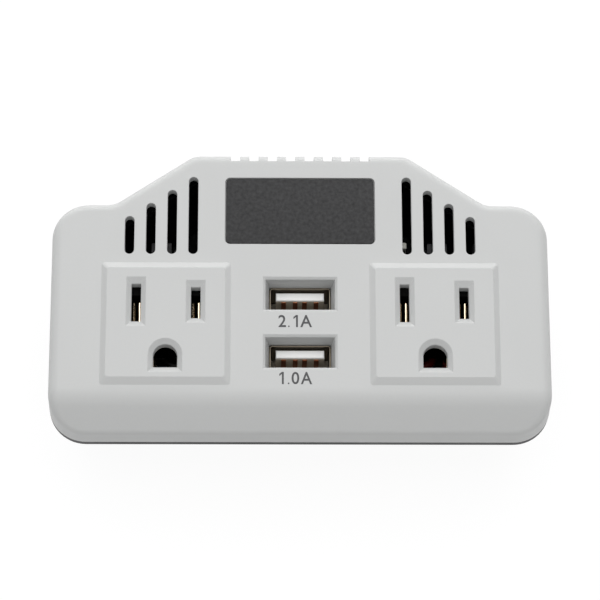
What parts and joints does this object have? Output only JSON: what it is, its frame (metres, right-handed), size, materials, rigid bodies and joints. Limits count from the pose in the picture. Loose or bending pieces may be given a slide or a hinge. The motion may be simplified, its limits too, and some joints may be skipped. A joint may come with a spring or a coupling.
{
  "type": "car power inverter",
  "caption": "Compact power inverter in a two-piece plastic case, with grounded outlets, USB ports and vents on its face, and a cooling fan, boards and transformer inside.",
  "frame": {"origin": "middle of the base", "axes": "+Z out of the face with the outlets, +Y towards the fan wall, +X to the right of someone who reads the face"},
  "size_m": [0.1072, 0.0624, 0.04],
  "materials": {
    "face_plastic": "fine satin",
    "case_plastic": "fine satin, black",
    "plate": "matt, dark grey",
    "screw_steel": "plain",
    "block_plastic": "plain, black",
    "contact_brass": "rolled",
    "usb_steel": "bright plated",
    "usb_plastic": "smooth, white",
    "pin_gold": "plated",
    "board": "solder mask, green",
    "inductor": "matt",
    "ferrite": "matt, dark grey",
    "bobbin": "plain, black",
    "wire": "enamelled copper",
    "fuse": "ceramic tube with metal caps",
    "clip_steel": "tinned",
    "can_sleeve": "shrink sleeve, dark blue",
    "film_case": "smooth, yellow",
    "bush_rubber": "matt, black",
    "sink": "extruded",
    "moulding": "moulded, black",
    "fan_plastic": "plain, black",
    "plug_plastic": "smooth, white",
    "red_vinyl": "vinyl, red",
    "black_vinyl": "vinyl, black",
    "green_vinyl": "vinyl, green"
  },
  "bodies": {
    "case": {"front_shell": "face_plastic", "rear_shell": "case_plastic", "name_plate": "plate", "case_screws": "screw_steel", "outlet_block_left": "block_plastic", "outlet_block_right": "block_plastic", "neutral_contact_left": "contact_brass", "hot_contact_left": "contact_brass", "ground_contact_left": "contact_brass", "neutral_contact_right": "contact_brass", "hot_contact_right": "contact_brass", "ground_contact_right": "contact_brass", "block_screws": "screw_steel", "usb_shell_upper": "usb_steel", "usb_shell_lower": "usb_steel", "usb_insulator_upper": "usb_plastic", "usb_insulator_lower": "usb_plastic", "usb_pins_upper": "pin_gold", "usb_pins_lower": "pin_gold", "usb_board": "board", "usb_inductor": "inductor", "usb_screws": "screw_steel", "main_board": "board", "board_screws": "screw_steel", "transformer_core": "ferrite", "transformer_bobbin": "bobbin", "transformer_winding": "wire", "choke_core": "ferrite", "choke_winding": "wire", "fuse": "fuse", "fuse_clips": "clip_steel", "input_capacitor": "can_sleeve", "output_capacitor": "can_sleeve", "film_capacitor": "film_case", "battery_terminals": "contact_brass", "cord_bush": "bush_rubber", "heatsink_left": "sink", "heatsink_right": "sink", "transistors_left": "moulding", "transistors_right": "moulding", "fan_frame": "fan_plastic", "fan_coil": "wire", "fan_plug": "plug_plastic", "hot_leads": "red_vinyl", "neutral_leads": "black_vinyl", "ground_leads": "green_vinyl"},
    "fan": {"fan_rotor": "fan_plastic", "fan_magnet": "ferrite"}
  },
  "joints": [
    {"name": "fan_spin", "type": "hinge", "parent": "case", "child": "fan", "pos_m": [0, 0.022, 0.0172], "axis": [0, 1, 0], "continuous": true}
  ]
}
